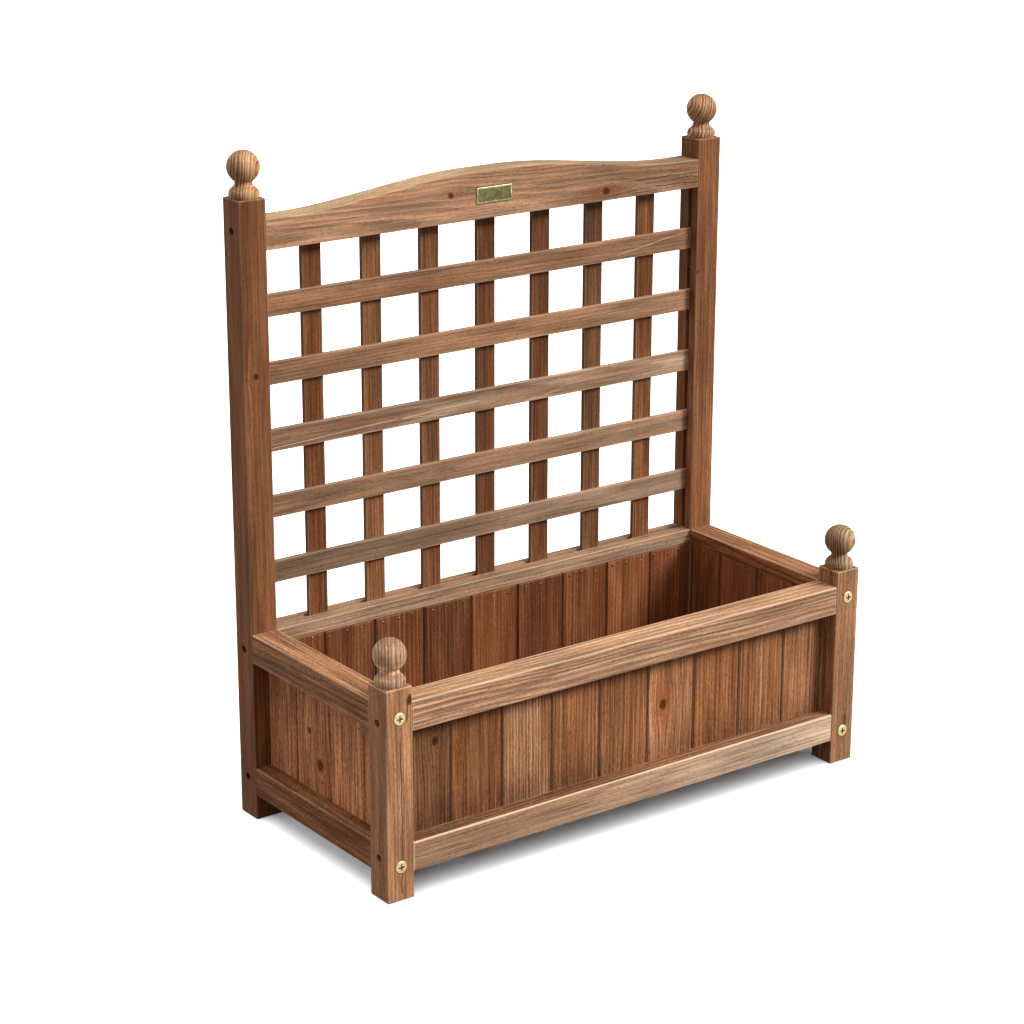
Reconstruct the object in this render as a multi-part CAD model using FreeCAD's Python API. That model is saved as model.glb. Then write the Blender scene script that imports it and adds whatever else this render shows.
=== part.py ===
"""Planter box with a trellis back, in stained softwood, standing on four posts.

Millimetres, +Z up. The front faces -Y and the left side, seen from the front, is -X.
The origin is on the floor under the middle of the planter.
Two short posts stand at the front and two tall ones at the back, and rails join them in two
rings. Tongued boards line the inner side of the rails, and an arched rail tops the trellis.
"""

import math
import os

import FreeCAD
import Part

os.makedirs("parts", exist_ok=True)

V = FreeCAD.Vector

# ---------------------------------------------------------------- overall sizes
overall_length = 635.0
overall_depth = 286.0
front_post_height = 230.0
back_post_height = 676.0

# ---------------------------------------------------------------- posts
post_width = 32.0
post_arris_round = 1.6
post_end_chamfer = 1.2

# ---------------------------------------------------------------- rails of the box
rail_height = 32.0
rail_inset = 0.6
rail_arris_round = 1.6
rail_inner_arris_round = 0.8
rail_end_chamfer = 0.7
top_rail_drop = 17.5
bottom_rail_level = 28.0

# ---------------------------------------------------------------- wall boards
board_set_back = 20.0
board_thickness = 11.5
board_cover = 64.5
board_joint_gap = 0.5
board_vee = 1.6
board_rebate_height = 16.0
board_top_clearance = 0.4
tongue_length = 5.0
tongue_thickness = 3.2
tongue_clearance = 0.2
long_wall_full_boards = 7
short_wall_full_boards = 2
short_wall_front_cover = 39.0

# ---------------------------------------------------------------- trellis
slat_width = 24.0
slat_thickness = 5.5
slat_edge_round = 0.7
slat_clearance = 0.25
lattice_set_back = 16.0
level_slats = 5
upright_slats = 7
post_groove_depth = 5.0
rail_groove_depth = 8.0
slat_end_clearance = 0.3

# ---------------------------------------------------------------- arched top rail
arch_end_drop = 22.5
arch_end_height = 32.0
arch_crest_height = 52.0
arch_crest_flat = 50.0
arch_end_flat = 28.0
arch_crest_ease = 74.0
arch_end_ease = 74.0
arch_arris_round = 1.0

# ---------------------------------------------------------------- turned finials
finial_height = 48.5
ball_diameter = 34.4
neck_diameter = 18.6
neck_fillet = 2.0
ogee_top = 14.8
ogee_neck_ease = 3.4
ogee_foot_reach = 1.3
ogee_foot_ease = 2.9
bead_diameter = 31.8
bead_height = 7.2
bead_shoulder = 0.7
tenon_diameter = 10.0
tenon_length = 16.0
tenon_clearance = 0.15
tenon_tip_chamfer = 0.8

# ---------------------------------------------------------------- blank plate on the arch
plate_length = 48.5
plate_height = 18.5
plate_thickness = 1.1
plate_corner_round = 1.2
plate_recess_depth = 0.6
plate_recess_clearance = 0.3
plate_mid_height = 25.6

# ---------------------------------------------------------------- corner bolts
bolt_head_diameter = 13.4
bolt_head_thickness = 2.2
bolt_head_bevel = 0.8
bolt_seat_depth = 1.0
bolt_seat_clearance = 0.35
bolt_shank_diameter = 6.0
bolt_shank_length = 60.0
bolt_hole_clearance = 0.2
bolt_recess_width = 1.7
bolt_recess_length = 7.0
bolt_recess_depth = 1.5
top_bolt_drop = 14.5
bottom_bolt_rise = 9.5

# ---------------------------------------------------------------- sunk screws
screw_head_diameter = 7.4
screw_head_thickness = 2.4
screw_sink_diameter = 8.2
screw_sink_depth = 10.0
screw_shank_diameter = 4.2
screw_shank_length = 50.0
screw_hole_clearance = 0.1
top_screw_drop = 20.5
bottom_screw_rise = 17.5
arch_screw_rise = 21.5

# ---------------------------------------------------------------- floor inside the box
bearer_width = 18.0
bearer_height = 15.0
bearer_rise = 0.5
floor_slats_across = 8
floor_slat_width = 62.0
floor_slat_thickness = 10.0
floor_clearance = 1.0

# ---------------------------------------------------------------- positions that follow
inner_length = overall_length - 2.0 * post_width
inner_depth = overall_depth - 2.0 * post_width
post_x = (overall_length - post_width) / 2.0
post_y = (overall_depth - post_width) / 2.0
top_rail_level = front_post_height - top_rail_drop
top_rail_bottom = top_rail_level - rail_height
bottom_rail_top = bottom_rail_level + rail_height
board_foot = bottom_rail_top - board_rebate_height
board_head = top_rail_bottom + board_rebate_height - board_top_clearance
top_bolt_level = top_rail_level - top_bolt_drop
bottom_bolt_level = bottom_rail_level + bottom_bolt_rise
top_screw_level = top_rail_level - top_screw_drop
bottom_screw_level = bottom_rail_level + bottom_screw_rise
arch_underside_level = back_post_height - arch_end_drop - arch_end_height
arch_screw_level = arch_underside_level + arch_screw_rise
lattice_height = arch_underside_level - top_rail_level
# The level slats stand before this plane and the upright ones behind it.
lattice_y = overall_depth / 2.0 - post_width + lattice_set_back


def box(x0, x1, y0, y1, z0, z1):
    """An upright block between two corners."""
    return Part.makeBox(x1 - x0, y1 - y0, z1 - z0, V(x0, y0, z0))


def rod(diameter, start, direction, length):
    """A round bar from start along direction."""
    return Part.makeCylinder(diameter / 2.0, length, start, direction)


def moved(shape, turn, x, y):
    """The shape turned about the upright axis, then shifted on the floor plane."""
    place = FreeCAD.Placement(V(x, y, 0), FreeCAD.Rotation(V(0, 0, 1), turn))
    return shape.transformed(place.toMatrix(), copy=True)


def save(name, shapes):
    """Writes one node, a single solid or a group of separate ones."""
    body = shapes[0] if len(shapes) == 1 else Part.makeCompound(shapes)
    body.exportStep("parts/" + name + ".step")


def eased_face(corners):
    """A flat face through corners given as (point, round); a round of 0 stays sharp."""
    starts = []
    ends = []
    arcs = []
    count = len(corners)
    for i in range(count):
        point, radius = corners[i]
        back = corners[i - 1][0].sub(point)
        ahead = corners[(i + 1) % count][0].sub(point)
        half = back.getAngle(ahead) / 2.0
        back.normalize()
        ahead.normalize()
        reach = radius / math.tan(half)
        start = point.add(V(back).multiply(reach))
        end = point.add(V(ahead).multiply(reach))
        starts.append(start)
        ends.append(end)
        if radius > 0.0:
            inward = back.add(ahead)
            inward.normalize()
            middle = point.add(inward.multiply(radius / math.sin(half) - radius))
            arcs.append(Part.Arc(start, middle, end).toShape())
        else:
            arcs.append(None)
    edges = []
    for i in range(count):
        if arcs[i] is not None:
            edges.append(arcs[i])
        after = starts[(i + 1) % count]
        edges.append(Part.makeLine(ends[i], after))
    return Part.Face(Part.Wire(edges))


def end_edges(block, direction):
    """The edges of a block's two end faces across direction."""
    return [e for e in block.Edges if abs(e.tangentAt(e.FirstParameter).dot(direction)) < 0.5]


# ---------------------------------------------------------------- posts


def post(side_x, side_y, height):
    """A square post with eased arrises, chamfered ends and the holes for its fasteners."""
    x = side_x * post_x
    y = side_y * post_y
    half = post_width / 2.0
    corners = [V(x - half, y - half, 0), V(x + half, y - half, 0)]
    corners += [V(x + half, y + half, 0), V(x - half, y + half, 0)]
    section = eased_face([(corner, post_arris_round) for corner in corners])
    body = section.extrude(V(0, 0, height))
    block = box(x - half, x + half, y - half, y + half, 0, height)
    body = body.common(block.makeChamfer(post_end_chamfer, end_edges(block, V(0, 0, 1))))

    cuts = [
        rod(
            tenon_diameter + 2.0 * tenon_clearance,
            V(x, y, height - tenon_length - slat_end_clearance),
            V(0, 0, 1),
            tenon_length + slat_end_clearance,
        )
    ]
    for level in (top_bolt_level, bottom_bolt_level):
        cuts.append(bolt_hole(x, side_y, level, post_width))
        seat = V(x, side_y * overall_depth / 2.0, level)
        seat_diameter = bolt_head_diameter + 2.0 * bolt_seat_clearance
        cuts.append(rod(seat_diameter, seat, V(0, -side_y, 0), bolt_seat_depth))
    for level in screw_levels(side_y):
        cuts.append(screw_hole(side_x, y, level, post_width))
        sink = V(side_x * overall_length / 2.0, y, level)
        cuts.append(rod(screw_sink_diameter, sink, V(-side_x, 0, 0), screw_sink_depth))
    if side_y > 0:
        inner = x - side_x * half
        floor = inner + side_x * post_groove_depth
        cuts.append(
            box(
                min(inner, floor),
                max(inner, floor),
                lattice_y - slat_thickness - slat_clearance,
                lattice_y + slat_clearance,
                top_rail_level,
                arch_underside_level,
            )
        )
    for cut in cuts:
        body = body.cut(cut)
    return body


def bolt_hole(x, side_y, level, depth):
    """The bore for one corner bolt, from the outer face of the post to depth."""
    start = V(x, side_y * overall_depth / 2.0, level)
    diameter = bolt_shank_diameter + 2.0 * bolt_hole_clearance
    return rod(diameter, start, V(0, -side_y, 0), depth)


def screw_hole(side_x, y, level, depth):
    """The bore for one sunk screw, from the outer side of the post to depth."""
    start = V(side_x * overall_length / 2.0, y, level)
    diameter = screw_shank_diameter + 2.0 * screw_hole_clearance
    return rod(diameter, start, V(-side_x, 0, 0), depth)


def screw_levels(side_y):
    """Heights of the sunk screws in a front post, or in a back post with the arch's own."""
    if side_y > 0:
        return [top_screw_level, bottom_screw_level, arch_screw_level]
    return [top_screw_level, bottom_screw_level]


# ---------------------------------------------------------------- finials


def finial(side_x, side_y, height):
    """A turned ball on a necked ogee and a half-round bead, with a tenon below."""
    ball = ball_diameter / 2.0
    neck = neck_diameter / 2.0
    shoulder = bead_diameter / 2.0 - bead_shoulder
    centre = finial_height - ball
    fillet_x = neck + neck_fillet
    fillet_z = centre - math.sqrt((ball + neck_fillet) ** 2 - fillet_x**2)
    share = ball / (ball + neck_fillet)
    meet = V(fillet_x * share, 0, centre + (fillet_z - centre) * share)
    turn = math.atan2(meet.z - fillet_z, meet.x - fillet_x) - math.pi
    bend = V(
        fillet_x - neck_fillet * math.cos(turn / 2.0),
        0,
        fillet_z - neck_fillet * math.sin(turn / 2.0),
    )
    waist = V(neck, 0, fillet_z)
    neck_foot = V(neck, 0, ogee_top)
    ogee_foot = V(shoulder, 0, bead_height)
    ogee = Part.BezierCurve()
    ogee.setPoles(
        [
            ogee_foot,
            V(shoulder - ogee_foot_reach, 0, bead_height + ogee_foot_ease),
            V(neck, 0, ogee_top - ogee_neck_ease),
            neck_foot,
        ]
    )
    tenon = tenon_diameter / 2.0
    tip = -tenon_length
    outline = [
        Part.makeLine(V(0, 0, tip), V(tenon - tenon_tip_chamfer, 0, tip)),
        Part.makeLine(V(tenon - tenon_tip_chamfer, 0, tip), V(tenon, 0, tip + tenon_tip_chamfer)),
        Part.makeLine(V(tenon, 0, tip + tenon_tip_chamfer), V(tenon, 0, 0)),
        Part.makeLine(V(tenon, 0, 0), V(shoulder, 0, 0)),
        Part.Arc(
            V(shoulder, 0, 0), V(bead_diameter / 2.0, 0, bead_height / 2.0), ogee_foot
        ).toShape(),
        ogee.toShape(),
        Part.makeLine(neck_foot, waist),
        Part.Arc(waist, bend, meet).toShape(),
        Part.Arc(meet, V(ball, 0, centre), V(0, 0, finial_height)).toShape(),
        Part.makeLine(V(0, 0, finial_height), V(0, 0, tip)),
    ]
    body = Part.Face(Part.Wire(outline)).revolve(V(0, 0, 0), V(0, 0, 1), 360.0)
    body.translate(V(side_x * post_x, side_y * post_y, height))
    return body


# ---------------------------------------------------------------- walls
# A wall is drawn in its own frame: X runs along it, Y goes inward from the posts' outer
# faces and Z is up. The table gives the way each wall faces, along X and Y.

walls = {
    "front": (0, -1),
    "back": (0, 1),
    "left": (-1, 0),
    "right": (1, 0),
}


def wall_length(side):
    """The clear length between the two posts of a wall."""
    if side in ("front", "back"):
        return inner_length
    return inner_depth


def placed(shape, side):
    """A shape drawn in a wall's own frame, set in place on the planter."""
    face_x, face_y = walls[side]
    turn = math.degrees(math.atan2(face_x, -face_y))
    return moved(shape, turn, face_x * overall_length / 2.0, face_y * overall_depth / 2.0)


def rail(side, ring):
    """A rail with a rebate along its inner side that takes the ends of the wall boards."""
    length = wall_length(side)
    start = -length / 2.0
    if ring == "top":
        low, high = top_rail_bottom, top_rail_level
        shoulder, edge = low + board_rebate_height, low
    else:
        low, high = bottom_rail_level, bottom_rail_top
        shoulder, edge = high - board_rebate_height, high
    section = [
        (V(start, rail_inset, low), rail_arris_round),
        (V(start, rail_inset, high), rail_arris_round),
    ]
    rebate = [
        (V(start, post_width, shoulder), rail_inner_arris_round),
        (V(start, board_set_back, shoulder), 0.0),
        (V(start, board_set_back, edge), 0.0),
    ]
    if ring == "top":
        section.append((V(start, post_width, high), rail_inner_arris_round))
        section += rebate
    else:
        section += rebate[::-1]
        section.append((V(start, post_width, low), rail_inner_arris_round))
    body = eased_face(section).extrude(V(length, 0, 0))
    block = box(start, -start, rail_inset, post_width, low, high)
    body = body.common(block.makeChamfer(rail_end_chamfer, end_edges(block, V(1, 0, 0))))
    body = placed(body, side)

    if side in ("left", "right"):
        level = top_bolt_level if ring == "top" else bottom_bolt_level
        x = post_x if side == "right" else -post_x
        for side_y in (-1, 1):
            body = body.cut(bolt_hole(x, side_y, level, bolt_seat_depth + bolt_shank_length))
    else:
        level = top_screw_level if ring == "top" else bottom_screw_level
        y = post_y if side == "back" else -post_y
        for side_x in (-1, 1):
            body = body.cut(screw_hole(side_x, y, level, screw_sink_depth + screw_shank_length))
    if side == "back" and ring == "top":
        body = body.cut(upright_groove(top_rail_level - rail_groove_depth, top_rail_level))
    return body


def upright_groove(low, high):
    """The slot in a rail that holds the ends of the upright slats."""
    reach = inner_length / 2.0
    front = lattice_y - slat_clearance
    back = lattice_y + slat_thickness + slat_clearance
    return box(-reach, reach, front, back, low, high)


def board_lines(side):
    """Where the joints of a wall lie along it, with both of its ends."""
    reach = wall_length(side) / 2.0
    if side in ("front", "back"):
        first = -long_wall_full_boards * board_cover / 2.0
        joints = [first + i * board_cover for i in range(long_wall_full_boards + 1)]
    else:
        first = -reach + short_wall_front_cover
        joints = [first + i * board_cover for i in range(short_wall_full_boards + 1)]
        if side == "left":
            joints = [-joint for joint in reversed(joints)]
    return [-reach] + joints + [reach]


def wall_board(side, left, right, grooved, tongued):
    """One board: tongue towards +X, groove towards -X and a vee down both faces of a joint."""
    outer = board_set_back
    inner = board_set_back + board_thickness
    middle = (outer + inner) / 2.0
    x0 = left
    x1 = right
    left_vee = 0.0
    right_vee = 0.0
    if grooved:
        x0 = left + board_joint_gap / 2.0
        left_vee = board_vee
    if tongued:
        x1 = right - board_joint_gap / 2.0
        right_vee = board_vee
    half_tongue = tongue_thickness / 2.0
    half_slot = half_tongue + tongue_clearance
    slot_depth = tongue_length - board_joint_gap + 2.0 * tongue_clearance
    outline = [(x0 + left_vee, outer), (x1 - right_vee, outer)]
    if tongued:
        outline += [
            (x1, outer + right_vee),
            (x1, middle - half_tongue),
            (x1 + tongue_length, middle - half_tongue),
            (x1 + tongue_length, middle + half_tongue),
            (x1, middle + half_tongue),
            (x1, inner - right_vee),
        ]
    outline += [(x1 - right_vee, inner), (x0 + left_vee, inner)]
    if grooved:
        outline += [
            (x0, inner - left_vee),
            (x0, middle + half_slot),
            (x0 + slot_depth, middle + half_slot),
            (x0 + slot_depth, middle - half_slot),
            (x0, middle - half_slot),
            (x0, outer + left_vee),
        ]
    points = [V(x, y, board_foot) for x, y in outline]
    face = Part.Face(Part.makePolygon(points + points[:1]))
    return placed(face.extrude(V(0, 0, board_head - board_foot)), side)


# ---------------------------------------------------------------- arched rail and its plate


def arched_rail():
    """The trellis's top rail, rising in two easy curves to a flat crest."""
    reach = inner_length / 2.0
    low = arch_underside_level
    end = low + arch_end_height
    crest = low + arch_crest_height
    front = overall_depth / 2.0 - post_width + rail_inset
    back = overall_depth / 2.0 - rail_inset
    crest_reach = arch_crest_flat / 2.0
    foot_reach = reach - arch_end_flat
    edges = [
        Part.makeLine(V(reach, front, end), V(reach, front, low)),
        Part.makeLine(V(reach, front, low), V(-reach, front, low)),
        Part.makeLine(V(-reach, front, low), V(-reach, front, end)),
        Part.makeLine(V(-reach, front, end), V(-foot_reach, front, end)),
        Part.makeLine(V(-crest_reach, front, crest), V(crest_reach, front, crest)),
        Part.makeLine(V(foot_reach, front, end), V(reach, front, end)),
    ]
    for side_x in (-1, 1):
        sweep = Part.BezierCurve()
        sweep.setPoles(
            [
                V(side_x * foot_reach, front, end),
                V(side_x * (foot_reach - arch_end_ease), front, end),
                V(side_x * (crest_reach + arch_crest_ease), front, crest),
                V(side_x * crest_reach, front, crest),
            ]
        )
        edges.append(sweep.toShape())
    outline = Part.Wire(Part.__sortEdges__(edges))
    body = Part.Face(outline).extrude(V(0, back - front, 0))
    along = [
        e
        for e in body.Edges
        if abs(e.BoundBox.YLength) < 1e-6 and e.BoundBox.XLength > arch_end_height / 2.0
    ]
    body = body.makeFillet(arch_arris_round, along)
    body = body.cut(upright_groove(low, low + rail_groove_depth))
    for side_x in (-1, 1):
        depth = screw_sink_depth + screw_shank_length
        body = body.cut(screw_hole(side_x, post_y, arch_screw_level, depth))
    recess = plate_block(
        plate_length + 2.0 * plate_recess_clearance,
        plate_height + 2.0 * plate_recess_clearance,
        plate_corner_round + plate_recess_clearance,
        front + plate_recess_depth,
        plate_recess_depth,
    )
    return body.cut(recess)


def plate_block(length, height, corner_round, seat, thickness):
    """A plate standing against the arch: its back at seat and its face towards -Y."""
    x = length / 2.0
    low = arch_underside_level + plate_mid_height - height / 2.0
    high = low + height
    corners = [V(-x, seat, low), V(x, seat, low), V(x, seat, high), V(-x, seat, high)]
    face = eased_face([(corner, corner_round) for corner in corners])
    return face.extrude(V(0, -thickness, 0))


def blank_plate():
    """The small plain plate let into the front of the arch."""
    seat = overall_depth / 2.0 - post_width + rail_inset + plate_recess_depth
    return plate_block(plate_length, plate_height, plate_corner_round, seat, plate_thickness)


# ---------------------------------------------------------------- trellis slats


def level_slat(number):
    """A slat along X before the lattice plane, its ends in the grooves of the tall posts."""
    gap = (lattice_height - level_slats * slat_width) / (level_slats + 1)
    low = top_rail_level + gap + (number - 1) * (slat_width + gap)
    high = low + slat_width
    reach = inner_length / 2.0 + post_groove_depth - slat_end_clearance
    front = lattice_y - slat_thickness
    corners = [V(-reach, front, low), V(-reach, front, high)]
    corners += [V(-reach, lattice_y, high), V(-reach, lattice_y, low)]
    return eased_face([(c, slat_edge_round) for c in corners]).extrude(V(2.0 * reach, 0, 0))


def upright_slat(number):
    """A slat up Z behind the lattice plane, its ends in the grooves of the two rails."""
    gap = (inner_length - upright_slats * slat_width) / (upright_slats + 1)
    left = -inner_length / 2.0 + gap + (number - 1) * (slat_width + gap)
    right = left + slat_width
    low = top_rail_level - rail_groove_depth
    high = arch_underside_level + rail_groove_depth - slat_end_clearance
    back = lattice_y + slat_thickness
    corners = [V(left, lattice_y, low), V(right, lattice_y, low)]
    corners += [V(right, back, low), V(left, back, low)]
    return eased_face([(c, slat_edge_round) for c in corners]).extrude(V(0, 0, high - low))


# ---------------------------------------------------------------- fasteners


def bolt(side_x, side_y, level):
    """A corner bolt: a flat round head with a cross recess, through the post into a side rail."""
    inward = V(0, -side_y, 0)
    outward = V(0, side_y, 0)
    seat = V(side_x * post_x, side_y * (overall_depth / 2.0 - bolt_seat_depth), level)
    face = seat.y + side_y * bolt_head_thickness
    radius = bolt_head_diameter / 2.0
    rim = V(seat.x, face - side_y * bolt_head_bevel, level)
    head = rod(bolt_head_diameter, seat, outward, bolt_head_thickness - bolt_head_bevel)
    bevel = Part.makeCone(radius, radius - bolt_head_bevel, bolt_head_bevel, rim, outward)
    head = head.fuse(bevel)
    for wide, tall in (
        (bolt_recess_length, bolt_recess_width),
        (bolt_recess_width, bolt_recess_length),
    ):
        deep = face - side_y * bolt_recess_depth
        slot = box(
            seat.x - wide / 2.0,
            seat.x + wide / 2.0,
            min(face, deep),
            max(face, deep),
            level - tall / 2.0,
            level + tall / 2.0,
        )
        head = head.cut(slot)
    shank = rod(bolt_shank_diameter, seat, inward, bolt_shank_length - bolt_hole_clearance)
    return head.fuse(shank)


def screw(side_x, side_y, level):
    """A sunk screw: its head at the bottom of a counterbore and its shank in a rail's end."""
    inward = V(-side_x, 0, 0)
    seat = V(side_x * (overall_length / 2.0 - screw_sink_depth), side_y * post_y, level)
    head = rod(screw_head_diameter, seat, V(side_x, 0, 0), screw_head_thickness)
    shank = rod(screw_shank_diameter, seat, inward, screw_shank_length - screw_hole_clearance)
    return head.fuse(shank)


# ---------------------------------------------------------------- floor


def bearer(side_y):
    """A batten along the foot of a long wall that carries the floor slats."""
    reach = inner_length / 2.0 - floor_clearance
    wall = side_y * inner_depth / 2.0
    edge = wall - side_y * bearer_width
    low = bottom_rail_level + bearer_rise
    return box(-reach, reach, min(wall, edge), max(wall, edge), low, low + bearer_height)


def floor_slat(number):
    """One slat of the drained floor, lying across the two battens."""
    gap = (inner_length - floor_slats_across * floor_slat_width) / (floor_slats_across + 1)
    left = -inner_length / 2.0 + gap + (number - 1) * (floor_slat_width + gap)
    reach = inner_depth / 2.0 - floor_clearance
    low = bottom_rail_level + bearer_rise + bearer_height
    high = low + floor_slat_thickness
    return box(left, left + floor_slat_width, -reach, reach, low, high)


# ---------------------------------------------------------------- the nodes

corners = {
    "front_left": (-1, -1, front_post_height),
    "front_right": (1, -1, front_post_height),
    "back_left": (-1, 1, back_post_height),
    "back_right": (1, 1, back_post_height),
}

for corner, (side_x, side_y, height) in corners.items():
    save(corner + "_post", [post(side_x, side_y, height)])
    save(corner + "_finial", [finial(side_x, side_y, height)])

for side in walls:
    for ring in ("top", "bottom"):
        save(side + "_" + ring + "_rail", [rail(side, ring)])
    lines = board_lines(side)
    count = len(lines) - 1
    for i in range(count):
        board = wall_board(side, lines[i], lines[i + 1], i > 0, i < count - 1)
        save(side + "_wall_board_" + str(i + 1), [board])

save("arched_top_rail", [arched_rail()])
save("blank_plate", [blank_plate()])

for number in range(1, level_slats + 1):
    save("trellis_level_slat_" + str(number), [level_slat(number)])
for number in range(1, upright_slats + 1):
    save("trellis_upright_slat_" + str(number), [upright_slat(number)])

save(
    "corner_bolts",
    [
        bolt(side_x, side_y, level)
        for side_x, side_y, _ in corners.values()
        for level in (top_bolt_level, bottom_bolt_level)
    ],
)
save(
    "sunk_screws",
    [
        screw(side_x, side_y, level)
        for side_x, side_y, _ in corners.values()
        for level in screw_levels(side_y)
    ],
)
save("floor_bearers", [bearer(side_y) for side_y in (-1, 1)])
save("floor_slats", [floor_slat(number) for number in range(1, floor_slats_across + 1)])
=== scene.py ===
"""Looks for the planter with trellis: stained softwood, zinc-plated bolts and a blank brass plate.

Metres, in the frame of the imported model. Wood materials work in millimetres from each piece's
middle: X along the grain, Y across the seen face and Z through it.
"""

import math
import random

import bmesh
import bpy
from mathutils import Matrix, Vector


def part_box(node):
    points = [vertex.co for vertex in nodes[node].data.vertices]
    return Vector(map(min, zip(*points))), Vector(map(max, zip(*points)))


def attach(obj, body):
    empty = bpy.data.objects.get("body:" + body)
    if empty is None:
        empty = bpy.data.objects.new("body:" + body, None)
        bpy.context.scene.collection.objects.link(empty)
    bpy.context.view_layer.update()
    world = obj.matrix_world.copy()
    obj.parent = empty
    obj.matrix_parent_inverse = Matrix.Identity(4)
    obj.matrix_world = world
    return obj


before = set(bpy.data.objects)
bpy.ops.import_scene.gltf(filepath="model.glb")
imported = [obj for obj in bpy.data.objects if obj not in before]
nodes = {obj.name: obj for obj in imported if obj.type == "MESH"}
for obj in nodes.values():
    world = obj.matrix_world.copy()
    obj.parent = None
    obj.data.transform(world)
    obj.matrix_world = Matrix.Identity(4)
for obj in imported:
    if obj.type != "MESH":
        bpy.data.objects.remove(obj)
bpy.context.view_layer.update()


# ------------------------------------------------------------------ shader graph helper


class Graph:
    """Short calls that add shader nodes to a tree and return the socket that comes out."""

    def __init__(self, tree):
        self.tree = tree

    def add(self, kind, **settings):
        node = self.tree.nodes.new("ShaderNode" + kind)
        for name, value in settings.items():
            setattr(node, name, value)
        return node

    def feed(self, socket, value):
        if isinstance(value, bpy.types.NodeSocket):
            self.tree.links.new(value, socket)
        else:
            socket.default_value = value

    def math(self, operation, a, b=0.0, c=0.0, clamp=False):
        node = self.add("Math", operation=operation, use_clamp=clamp)
        for socket, value in zip(node.inputs, (a, b, c)):
            self.feed(socket, value)
        return node.outputs[0]

    def vector(self, operation, a, b=(0.0, 0.0, 0.0), scale=1.0):
        node = self.add("VectorMath", operation=operation)
        self.feed(node.inputs[0], a)
        if operation == "SCALE":
            self.feed(node.inputs["Scale"], scale)
        else:
            self.feed(node.inputs[1], b)
        if operation in ("LENGTH", "DOT_PRODUCT", "DISTANCE"):
            return node.outputs["Value"]
        return node.outputs["Vector"]

    def parts(self, vector):
        node = self.add("SeparateXYZ")
        self.feed(node.inputs[0], vector)
        return node.outputs[0], node.outputs[1], node.outputs[2]

    def join(self, x, y, z):
        node = self.add("CombineXYZ")
        for socket, value in zip(node.inputs, (x, y, z)):
            self.feed(socket, value)
        return node.outputs[0]

    def noise(self, vector, scale=1.0, detail=2.0, roughness=0.5):
        node = self.add("TexNoise", noise_dimensions="3D")
        self.feed(node.inputs["Vector"], vector)
        self.feed(node.inputs["Scale"], scale)
        self.feed(node.inputs["Detail"], detail)
        self.feed(node.inputs["Roughness"], roughness)
        return node.outputs["Fac"]

    def step(self, value, low, high):
        """0 below low, 1 above high and a smooth rise between; high may be the lower."""
        node = self.add("MapRange", interpolation_type="SMOOTHSTEP")
        self.feed(node.inputs["Value"], value)
        self.feed(node.inputs["From Min"], low)
        self.feed(node.inputs["From Max"], high)
        return node.outputs["Result"]

    def spread(self, value, low, high):
        """A 0 to 1 value spread from low to high."""
        node = self.add("MapRange")
        self.feed(node.inputs["Value"], value)
        self.feed(node.inputs["To Min"], low)
        self.feed(node.inputs["To Max"], high)
        return node.outputs["Result"]

    def mix(self, share, a, b):
        node = self.add("Mix", data_type="RGBA", clamp_factor=True)
        self.feed(node.inputs["Factor"], share)
        self.feed(node.inputs["A"], a if isinstance(a, bpy.types.NodeSocket) else (*a, 1.0))
        self.feed(node.inputs["B"], b if isinstance(b, bpy.types.NodeSocket) else (*b, 1.0))
        return node.outputs["Result"]

    def tint(self, colour, value):
        """A colour times a plain number or a socket."""
        return self.vector("SCALE", colour, scale=value)

    def bump(self, shader, height, strength, metres):
        node = self.add("Bump")
        self.feed(node.inputs["Strength"], strength)
        self.feed(node.inputs["Distance"], metres)
        self.feed(node.inputs["Height"], height)
        self.feed(shader.inputs["Normal"], node.outputs[0])


def srgb(r, g, b):
    """A colour picked as 0 to 255 screen values, as the linear values that shaders take."""
    out = []
    for value in (r, g, b):
        value = value / 255.0
        out.append(value / 12.92 if value <= 0.04045 else ((value + 0.055) / 1.055) ** 2.4)
    return tuple(out)


def blank_material(name, shader_kind):
    """A new material that holds a shader and its output, with its graph and the shader."""
    material = bpy.data.materials.new(name)
    material.use_nodes = True
    tree = material.node_tree
    tree.nodes.clear()
    g = Graph(tree)
    shader = g.add(shader_kind)
    sink = g.add("OutputMaterial")
    tree.links.new(shader.outputs[0], sink.inputs[0])
    return material, g, shader


def dress(node, material):
    """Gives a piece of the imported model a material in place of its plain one."""
    piece = nodes[node]
    piece.data.materials.clear()
    piece.data.materials.append(material)


# ------------------------------------------------------------------ softwood

per_metre = 1000.0
half_per_metre = per_metre / 2.0

# Growth rings, in millimetres, in years and in shares of a year.
ring_ripple = 2.2
slow_growth = 0.27
growth_drift = 2.6
faintest_ring = 0.30
late_rise = (0.42, 0.80)
late_fall = (1.0, 0.93)
crest_rise = (0.0, 0.08)
crest_fall = (0.40, 0.16)


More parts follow.
